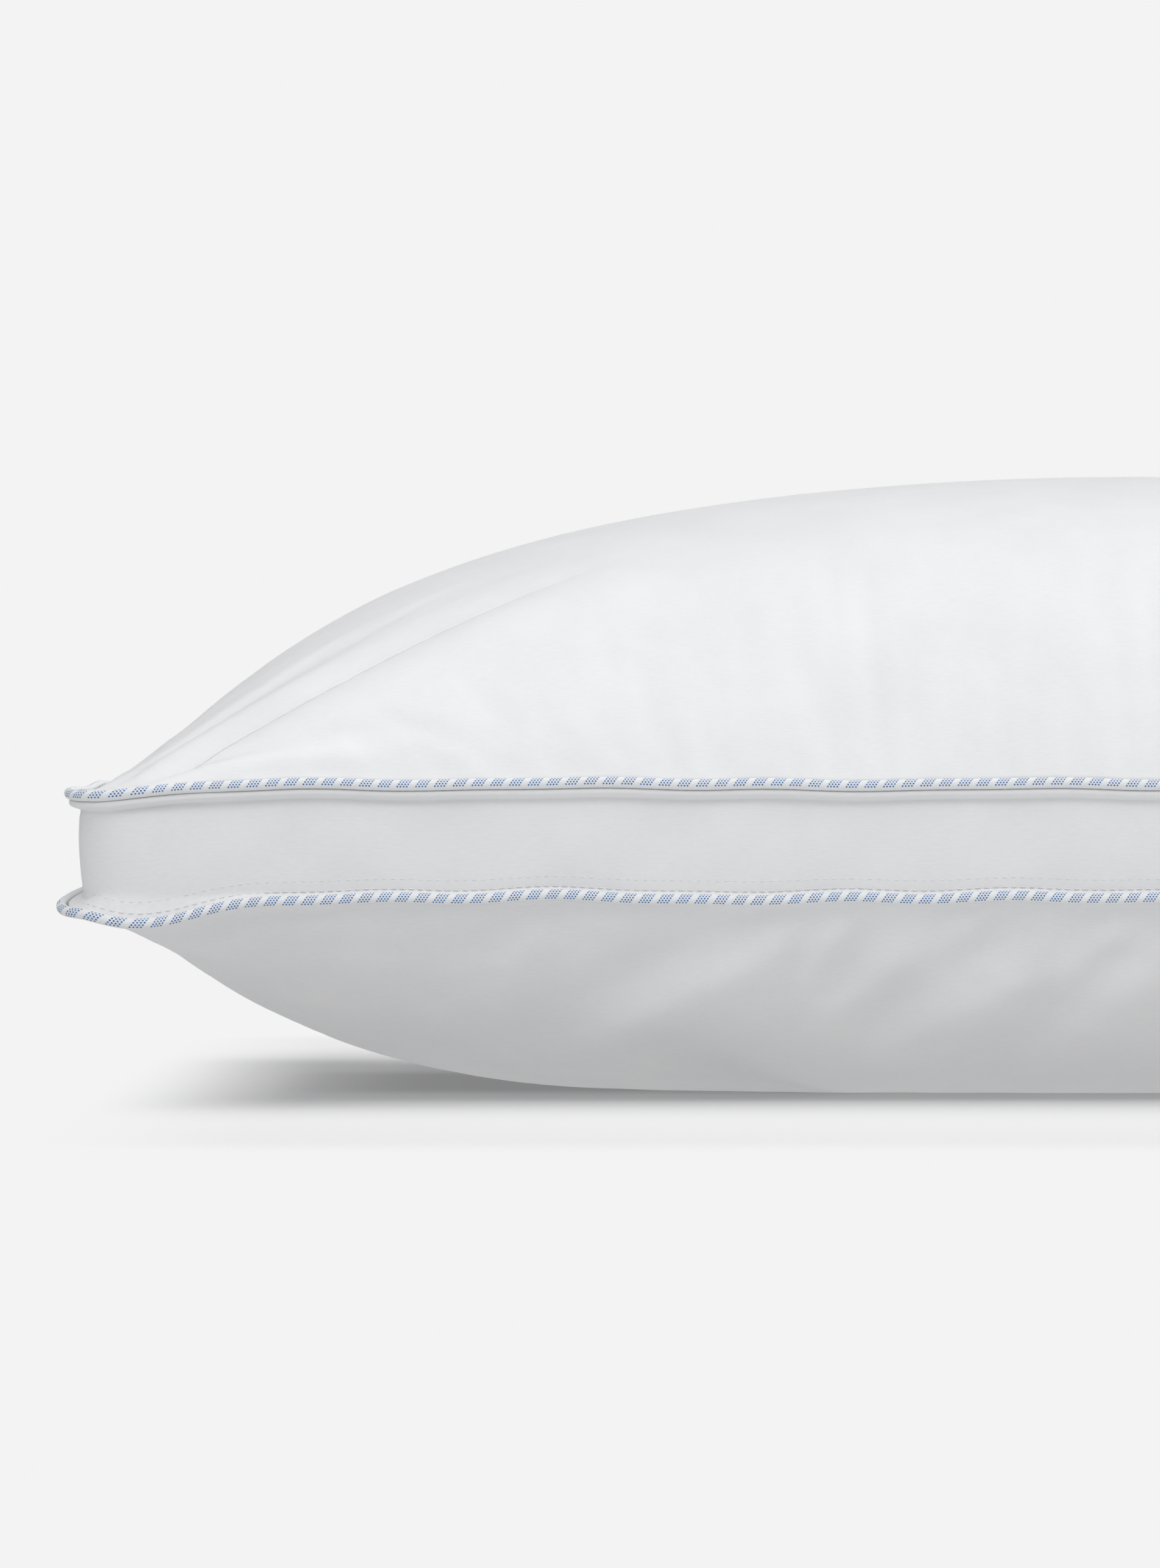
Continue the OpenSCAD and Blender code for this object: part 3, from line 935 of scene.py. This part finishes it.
def care_label():
    """A blank woven label folded double, sewn in at the back of the lower seam."""
    width = label_high.x - label_low.x
    drop = label_high.z - label_low.z
    middle = (label_low.x + label_high.x) / 2
    seam_y = SEAM[np.hypot(SEAM[:, 0] - middle, SEAM[:, 1] - HALF_D).argmin(), 1]
    down = (drop - LABEL_FOLD_R) * np.linspace(0, 1, 28)
    turn = np.radians(np.linspace(-90, 90, 9))[1:-1]
    layer = np.full(len(down), LABEL_FOLD_R)
    side = np.concatenate([layer, -LABEL_FOLD_R * np.sin(turn), -layer])
    depth = np.concatenate([down, down[-1] + LABEL_FOLD_R * np.cos(turn), down[::-1]])
    pinch = 0.3 + 0.7 * smooth_step(depth / LABEL_PINCH)
    across = np.linspace(-0.5, 0.5, 21)[:, None]
    fallen = depth / drop
    curl = LABEL_CURL * np.sin(fallen * 2.2) * (1 + 0.5 * across) + LABEL_TWIST * across * fallen
    ripple = LABEL_RIPPLE * np.sin(across * 5 + 1) * fallen
    grid = np.empty((len(across), len(side), 3))
    grid[..., 0] = middle + across * width
    grid[..., 1] = seam_y + LABEL_OUT + side * pinch + curl + ripple
    grid[..., 2] = label_high.z - depth
    ny, nx = grid.shape[0] - 1, grid.shape[1] - 1
    points = grid.reshape(-1, 3)
    faces = grid_faces(nx, ny)
    half = LABEL_T / 2 * vertex_normals(points, faces)
    edge = grid_edge(nx, ny)
    total = len(points)
    every = np.concatenate([faces, faces[:, ::-1] + total, bridge(edge, edge + total)])
    thick = np.concatenate([points + half, points - half])
    flat = np.meshgrid(np.linspace(0, 2 * drop, nx + 1), np.linspace(0, width, ny + 1))
    flat = np.stack(flat, -1).reshape(-1, 2)
    every, _ = outward(thick, every)
    return new_mesh("blank_care_label", thick, every, np.concatenate([flat, flat])[every])


FILL_GAP = 6 * MM  # between the filling and the panels
LUMP = 4 * MM
LUMP_REACH = 1.6  # in cells of the filling's grid


def fibre_fill():
    """The loose filling as one soft closed form, a little inside the shell all round."""
    nx, ny = 80, 54
    p, q = grid_params(nx, ny)
    inside = 1 - FILL_GAP * 2.4 / HALF_D
    tops = filled_panel(p * inside, q * inside, UPPER, CROWN, CROWN_PROFILE)
    bottoms = filled_panel(p * inside, q * inside, LOWER, -SAG, SAG_PROFILE)
    lumps = np.random.default_rng(8).normal(size=(ny + 1, nx + 1, 1))
    lumps = np.abs(blurred(lumps, LUMP_REACH, LUMP_REACH).ravel()) * LUMP
    tops[:, 2] -= FILL_GAP + lumps
    bottoms[:, 2] = pressed(bottoms[:, 2]) + FILL_GAP + lumps
    edge = grid_edge(nx, ny)
    faces = grid_faces(nx, ny)
    total = len(tops)
    every = np.concatenate([faces, faces[:, ::-1] + total, bridge(edge, edge + total)])
    points = np.concatenate([tops, bottoms])
    every, _ = outward(points, every)
    return new_mesh("fibre_filling", points, every, points[every][..., :2])


# ---- Materials ----


class Nodes:
    """Adds nodes to a tree of nodes."""

    def __init__(self, tree):
        self.tree = tree

    def add(self, kind, **settings):
        made = self.tree.nodes.new(kind)
        for key, value in settings.items():
            setattr(made, key, value)
        return made

    def link(self, value, socket):
        """Sets an input to a plain value, or links it to a node's output."""
        if isinstance(value, bpy.types.NodeSocket):
            self.tree.links.new(value, socket)
        else:
            socket.default_value = value

    def math(self, operation, *values):
        made = self.add("ShaderNodeMath", operation=operation)
        for value, socket in zip(values, made.inputs):
            self.link(value, socket)
        return made.outputs[0]

    def plus(self, a, b):
        return self.math("ADD", a, b)

    def minus(self, a, b):
        return self.math("SUBTRACT", a, b)

    def times(self, a, b):
        return self.math("MULTIPLY", a, b)

    def split(self, vector):
        """The first two of a vector's parts."""
        made = self.add("ShaderNodeSeparateXYZ")
        self.link(vector, made.inputs[0])
        return made.outputs[0], made.outputs[1]

    def noise(self, vector, scale, detail=2.0, roughness=0.5):
        made = self.add("ShaderNodeTexNoise")
        self.link(vector, made.inputs["Vector"])
        made.inputs["Scale"].default_value = scale
        made.inputs["Detail"].default_value = detail
        made.inputs["Roughness"].default_value = roughness
        return made.outputs["Fac"]

    def between(self, value, low, high, start=0.0, end=1.0):
        """A smooth change from start to end, as the value goes from low to high."""
        made = self.add("ShaderNodeMapRange", interpolation_type="SMOOTHSTEP")
        for given, socket in zip((value, low, high, start, end), made.inputs):
            self.link(given, socket)
        return made.outputs[0]

    def mix(self, share, a, b):
        made = self.add("ShaderNodeMix", data_type="RGBA")
        self.link(share, made.inputs["Factor"])
        self.link(a, made.inputs[6])
        self.link(b, made.inputs[7])
        return made.outputs[2]

    def bump(self, height, distance, strength=1.0, normal=None):
        made = self.add("ShaderNodeBump")
        made.inputs["Strength"].default_value = strength
        made.inputs["Distance"].default_value = distance
        self.link(height, made.inputs["Height"])
        if normal is not None:
            self.link(normal, made.inputs["Normal"])
        return made.outputs[0]

    def mix_shaders(self, share, a, b):
        made = self.add("ShaderNodeMixShader")
        for value, socket in zip((share, a, b), made.inputs):
            self.link(value, socket)
        return made.outputs[0]

    def glow(self, strength):
        made = self.add("ShaderNodeEmission")
        self.link(strength, made.inputs["Strength"])
        return made.outputs[0]


class Surface(Nodes):
    """A new material and its nodes. Its patterns lie on the cloth's own uv, in metres."""

    def __init__(self, name):
        self.material = bpy.data.materials.new(name)
        self.material.use_nodes = True
        super().__init__(self.material.node_tree)
        self.shader = self.tree.nodes["Principled BSDF"]
        self.metres = self.add("ShaderNodeUVMap", uv_map="metres").outputs[0]

    def scaled(self, x, y):
        """The uv in metres, scaled along each way."""
        made = self.add("ShaderNodeMapping")
        self.link(self.metres, made.inputs["Vector"])
        made.inputs["Scale"].default_value = (x, y, 1)
        return made.outputs[0]

    def finish(self, colour, roughness, normal, sheen=0.0, sheen_roughness=0.5, specular=0.3):
        self.link(colour, self.shader.inputs["Base Color"])
        self.link(roughness, self.shader.inputs["Roughness"])
        self.link(normal, self.shader.inputs["Normal"])
        self.shader.inputs["Sheen Weight"].default_value = sheen
        self.shader.inputs["Sheen Roughness"].default_value = sheen_roughness
        self.shader.inputs["Specular IOR Level"].default_value = specular
        return self.material


THREAD_PITCH = 0.36 * MM  # of the ticking's weave
CREASE_HALF = 1.3 * MM  # half the width of a sharp crease


def weave(n, pitch):
    """A plain weave's height, from the uv."""
    u, v = n.split(n.metres)
    turn = 2 * math.pi / pitch
    warp = n.math("SINE", n.times(u, turn))
    weft = n.math("SINE", n.times(v, turn))
    return n.times(warp, weft)


def crease_line(n, start, end):
    """0 on a crease in the top between two places in plan, in millimetres, and 1 away from it."""
    start = np.array(start) * MM
    run = np.array(end) * MM - start
    length = math.hypot(*run)
    run = run / length
    u, v = n.split(n.add("ShaderNodeUVMap", uv_map="plan").outputs[0])
    out_u = n.minus(u, float(start[0]))
    out_v = n.minus(v, float(start[1]))
    along_u = n.times(out_u, float(run[0] / length))
    along = n.math("MULTIPLY_ADD", out_v, float(run[1] / length), along_u)
    across_u = n.times(out_u, float(-run[1]))
    across = n.math("ABSOLUTE", n.math("MULTIPLY_ADD", out_v, float(run[0]), across_u))
    shown = n.times(n.between(along, 0.0, 0.07), n.between(along, 1.1, 0.3))
    return n.minus(1.0, n.times(shown, n.between(across, CREASE_HALF, 0.0)))


def ticking_material(name, creases=()):
    """Bleached cotton sateen: a fine close weave with faint slubs and a soft sheen."""
    n = Surface(name)
    slub = n.noise(n.scaled(260, 1500), 1.0, 3.0, 0.6)
    cross = n.noise(n.scaled(1700, 300), 1.0, 2.0, 0.5)
    crumple = n.noise(n.scaled(95, 95), 1.0, 3.0, 0.45)
    tone = n.noise(n.scaled(30, 30), 1.0, 2.0, 0.5)
    bright = n.math("MULTIPLY_ADD", slub, 0.5, n.times(tone, 0.5))
    colour = n.mix(n.between(bright, 0.3, 0.7), (0.835, 0.842, 0.86, 1), (0.885, 0.888, 0.897, 1))
    rough = n.between(cross, 0.3, 0.7, 0.5, 0.62)
    fine = n.bump(weave(n, THREAD_PITCH), 0.03 * MM, 0.35)
    threads = n.bump(n.plus(slub, n.times(cross, 0.6)), 0.07 * MM, 0.5, fine)
    normal = n.bump(crumple, 0.35 * MM, 0.4, threads)
    for start, end, _, _ in creases:
        normal = n.bump(crease_line(n, start, end), 0.6 * MM, 0.8, normal)
    return n.finish(colour, rough, normal, sheen=0.12, sheen_roughness=0.35, specular=0.35)


DOT_PITCH = 1.04 * MM  # along the piping
DOT_ROW = 0.735 * MM  # across it
DOT_R = 0.27 * MM
DOTS_IN_SIX = 4  # the printed dots in each six places of a row
# Where the rows lie on each piping, across its cover from the middle of its outer side.
UPPER_PRINT = (-0.9 * MM, 2.9 * MM)
LOWER_PRINT = (-1.4 * MM, 2.4 * MM)


def piping_material(name, band_low, band_high):
    """White cotton printed with small blue dots, in slanting groups of four to a row."""
    n = Surface(name)
    u, v = n.split(n.metres)
    row_at = n.math("DIVIDE", v, DOT_ROW)
    row = n.math("FLOOR", row_at)
    along = n.minus(n.math("DIVIDE", u, DOT_PITCH), n.times(row, 0.5))
    cell = n.math("FLOOR", along)
    du = n.times(n.minus(n.math("FRACT", along), 0.5), DOT_PITCH)
    dv = n.times(n.minus(n.math("FRACT", row_at), 0.5), DOT_ROW)
    far = n.math("SQRT", n.plus(n.times(du, du), n.times(dv, dv)))
    group = n.math("LESS_THAN", n.math("FLOORED_MODULO", cell, 6.0), DOTS_IN_SIX - 0.5)
    middle = n.times(n.plus(row, 0.5), DOT_ROW)
    above = n.math("GREATER_THAN", middle, band_low)
    below = n.math("LESS_THAN", middle, band_high)
    shown = n.times(group, n.times(above, below))
    key = n.add("ShaderNodeCombineXYZ")
    n.link(cell, key.inputs[0])
    n.link(row, key.inputs[1])
    chance = n.add("ShaderNodeTexWhiteNoise", noise_dimensions="2D")
    n.link(key.outputs[0], chance.inputs["Vector"])
    ink = n.mix(chance.outputs["Value"], (0.015, 0.09, 0.31, 1), (0.04, 0.2, 0.5, 1))
    dot = n.times(shown, n.between(far, DOT_R * 1.25, DOT_R * 0.8))
    halo = n.times(shown, n.between(far, DOT_R * 1.9, DOT_R, 0.0, 0.25))
    ground = n.mix(halo, (0.86, 0.87, 0.885, 1), (0.42, 0.58, 0.82, 1))
    slub = n.noise(n.scaled(400, 1500), 1.0, 2.0, 0.5)
    fine = n.bump(weave(n, 0.3 * MM), 0.04 * MM, 0.4)
    normal = n.bump(slub, 0.1 * MM, 0.5, fine)
    return n.finish(n.mix(dot, ground, ink), n.between(slub, 0.3, 0.7, 0.62, 0.75), normal, sheen=0.08)


def thread_material():
    """Bleached polyester thread, twisted."""
    n = Surface("white_sewing_thread")
    u, v = n.split(n.metres)
    twist = n.math("SINE", n.plus(n.times(u, 9000.0), n.times(v, 5000.0)))
    colour = n.mix(n.between(twist, -1.0, 1.0), (0.80, 0.81, 0.83, 1), (0.90, 0.90, 0.91, 1))
    return n.finish(colour, 0.45, n.bump(twist, 0.05 * MM, 0.6), specular=0.45)


def cord_material():
    """Undyed cotton filler cord, loosely twisted."""
    n = Surface("undyed_cotton_cord")
    u, v = n.split(n.metres)
    twist = n.math("SINE", n.plus(n.times(u, 2600.0), n.times(v, 2100.0)))
    fuzz = n.noise(n.scaled(1500, 1500), 1.0, 3.0, 0.6)
    colour = n.mix(n.between(fuzz, 0.3, 0.7), (0.74, 0.70, 0.60, 1), (0.84, 0.81, 0.73, 1))
    return n.finish(colour, 0.85, n.bump(fuzz, 0.1 * MM, 0.5, n.bump(twist, 0.3 * MM, 0.7)), sheen=0.2)


RIB_PITCH = 0.5 * MM  # of the label's ribs


def label_material():
    """Blank woven satin ribbon."""
    n = Surface("blank_satin_ribbon")
    u, _ = n.split(n.metres)
    ribs = n.math("SINE", n.times(u, 2 * math.pi / RIB_PITCH))
    slub = n.noise(n.scaled(300, 2000), 1.0, 2.0, 0.5)
    colour = n.mix(n.between(slub, 0.3, 0.7), (0.84, 0.84, 0.835, 1), (0.90, 0.90, 0.89, 1))
    normal = n.bump(slub, 0.05 * MM, 0.5, n.bump(ribs, 0.03 * MM, 0.4))
    return n.finish(colour, n.between(slub, 0.3, 0.7, 0.35, 0.5), normal, specular=0.5)


def fibre_material():
    """Loose white polyester fibre."""
    n = Surface("white_fibre")
    strands = n.noise(n.scaled(500, 220), 1.0, 6.0, 0.7)
    colour = n.mix(n.between(strands, 0.3, 0.7), (0.80, 0.80, 0.79, 1), (0.93, 0.93, 0.92, 1))
    return n.finish(colour, 0.9, n.bump(strands, 2 * MM, 0.8), sheen=0.4)


# ---- Assembly ----


def add_piece(piece, material, slot, *nodes):
    """Gives a piece its material, and sets it in the place of its CAD nodes. The slot is not used."""
    piece.data.materials.append(material)
    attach(piece, "root")
    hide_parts(*nodes)
    return piece


def build_pillow():
    """Every piece of the pillow, in the place of its CAD node."""
    ticking = ticking_material("white_cotton_sateen")
    thread = thread_material()
    cord = cord_material()
    top, bottom = panels()
    add_piece(top, ticking_material("creased_cotton_sateen", MAIN_FOLDS), "ticking", "top_panel")
    add_piece(bottom, ticking, "ticking", "bottom_panel")
    front = band_strip("gusset_front_cloth", 0)
    back = band_strip("gusset_back_cloth", STATIONS // 2)
    add_piece(front, ticking, "ticking", "gusset_front_strip")
    add_piece(back, ticking, "ticking", "gusset_back_strip")
    upper = piping_material("dotted_piping_upper", *UPPER_PRINT)
    lower = piping_material("dotted_piping_lower", *LOWER_PRINT)
    add_piece(piping_cover("upper_piping_cloth", UPPER), upper, "piping", "upper_piping_cover")
    add_piece(piping_cover("lower_piping_cloth", LOWER), lower, "piping", "lower_piping_cover")
    add_piece(piping_cord("upper_filler_cord", UPPER), cord, "cord", "upper_piping_cord")
    add_piece(piping_cord("lower_filler_cord", LOWER), cord, "cord", "lower_piping_cord")
    upper_stitches = seam_thread("upper_seam_stitches", [(0.966, 0.05 * MM)])
    lower_stitches = seam_thread("lower_seam_stitches", [(0.06, 0.05 * MM), (0.15, -0.12 * MM)])
    add_piece(upper_stitches, thread, "thread", "upper_seam_thread")
    add_piece(lower_stitches, thread, "thread", "lower_seam_thread")
    add_piece(join_threads(), thread, "thread", "gusset_join_threads")
    add_piece(closing_stitches(), thread, "thread", "closing_seam_thread")
    label = add_piece(care_label(), label_material(), "label", "care_label")
    fill = add_piece(fibre_fill(), fibre_material(), "fibre", "fibre_fill")


# ---- Stage, light and camera ----

BACKDROP = 0.896  # the pale grey of the surroundings, as the camera sees it
WORLD_LIGHT = 0.27  # the light that they give
FROM_RIGHT = 0.2  # how much stronger that is from the right, and weaker from the left
FLOOR_HALF = 200  # metres, so that its edge is never seen
FLOOR_ALBEDO = 0.835
PAINTED_SHADE_REACH = 60 * MM  # how near the pillow the painted shade darkens the floor's colour
PAINTED_SHADE = (0.62, 0.86)  # painted shade: what is left there of the floor's colour, under the pillow, and at its sides
FADE_FROM = (290 * MM, 450 * MM)  # the half sizes of the rectangle past which the shadow fades out
FADE_REACH = 80 * MM
GLOW_NEAR = 0.56  # painted light: the glow that the floor gives the pillow's underside in place of the light it sends back, less near the contact
GLOW_FAR = 0.8
GLOW_ENDS = 0.82  # the share of it that is left past the short ends


def pale_floor():
    """A wide floor under the pillow, which can't be seen from below.

    The camera sees it with a soft shadow, deepened close to the contact by painted shade in its colour, and
    fading out at a distance.
    The pillow's underside sees it as an even glow of painted light, weaker near the contact as painted
    shade.
    """
    size = FLOOR_HALF
    corners = [(-size, -size, 0), (size, -size, 0), (size, size, 0), (-size, size, 0)]
    obj = new_mesh("floor", corners, [(0, 1, 2, 3)])
    n = Surface("pale_floor")
    place = n.add("ShaderNodeNewGeometry")
    x, y = (n.math("ABSOLUTE", value) for value in n.split(place.outputs["Position"]))

    def beyond(half_x, half_y):
        """The distance outside a rectangle round the pillow's middle."""
        out_x = n.math("MAXIMUM", n.minus(x, half_x), 0.0)
        out_y = n.math("MAXIMUM", n.minus(y, half_y), 0.0)
        return n.math("SQRT", n.plus(n.times(out_x, out_x), n.times(out_y, out_y)))

    # Painted shade: the floor's colour darkens where an occlusion test finds the pillow close by, most
    # under it and less at its long sides.
    close = n.add("ShaderNodeAmbientOcclusion")
    close.inputs["Distance"].default_value = PAINTED_SHADE_REACH
    under, sides = (share * FLOOR_ALBEDO for share in PAINTED_SHADE)
    depth = n.between(y, 60 * MM, 125 * MM, under, sides)
    shade = n.between(close.outputs["AO"], 0.0, 0.35, depth, FLOOR_ALBEDO)
    n.link(shade, n.shader.inputs["Base Color"])
    n.shader.inputs["Roughness"].default_value = 1
    n.shader.inputs["Specular IOR Level"].default_value = 0
    fade = n.between(beyond(*FADE_FROM), 0.0, FADE_REACH)
    shown = n.mix_shaders(fade, n.shader.outputs[0], n.glow(BACKDROP))
    # Painted light for the underside, with painted shade where it is weaker near the contact and past the
    # short ends.
    strength = n.between(beyond(260 * MM, 150 * MM), 0.0, 160 * MM, GLOW_NEAR, GLOW_FAR)
    ends = n.between(x, 180 * MM, 380 * MM, 1.0, GLOW_ENDS)
    path = n.add("ShaderNodeLightPath")
    above = n.mix_shaders(path.outputs["Is Camera Ray"], n.glow(n.times(strength, ends)), shown)
    clear = n.add("ShaderNodeBsdfTransparent").outputs[0]
    both = n.mix_shaders(place.outputs["Backfacing"], above, clear)
    n.link(both, n.tree.nodes["Material Output"].inputs["Surface"])
    obj.data.materials.append(n.material)


def surroundings():
    """An even pale background, which lights the scene a little more strongly from the right."""
    world = bpy.data.worlds.new("pale_surroundings")
    bpy.context.scene.world = world
    world.use_nodes = True
    n = Nodes(world.node_tree)
    seen = n.add("ShaderNodeLightPath").outputs["Is Camera Ray"]
    to_right, _ = n.split(n.add("ShaderNodeTexCoord").outputs["Generated"])
    light = n.math("MULTIPLY_ADD", to_right, WORLD_LIGHT * FROM_RIGHT, WORLD_LIGHT)
    shader = n.tree.nodes["Background"]
    shader.inputs["Color"].default_value = (1, 1, 1, 1)
    n.link(n.between(seen, 0.0, 1.0, light, BACKDROP), shader.inputs["Strength"])


def soft_light(name, strength, width, tilt, roll, turn):
    """A wide distant light. The angles are in degrees."""
    data = bpy.data.lights.new(name, "SUN")
    data.energy = strength
    data.angle = math.radians(width)
    obj = bpy.data.objects.new(name, data)
    obj.rotation_euler = (math.radians(tilt), math.radians(roll), math.radians(turn))
    bpy.context.scene.collection.objects.link(obj)


CAMERA_X = -199.5 * MM
CAMERA_BACK = 2746 * MM
LENS = 174  # this and the sensor's width are in millimetres, which cameras take
SENSOR_WIDTH = 36


def level_camera():
    """A long lens, level with the upper seam, in front of the left half of the pillow."""
    data = bpy.data.cameras.new("camera")
    data.lens = LENS
    data.sensor_width = SENSOR_WIDTH
    obj = bpy.data.objects.new("camera", data)
    obj.location = (CAMERA_X, -CAMERA_BACK, UPPER_Z)
    obj.rotation_euler = (math.radians(90), 0, 0)
    bpy.context.scene.collection.objects.link(obj)
    bpy.context.scene.camera = obj


build_pillow()
pale_floor()
surroundings()
soft_light("overhead", 2.1, 100, 8, 20, 0)
soft_light("front_left", 0.6, 30, 62, 0, -40)
level_camera()
bpy.context.scene.view_settings.view_transform = "Standard"
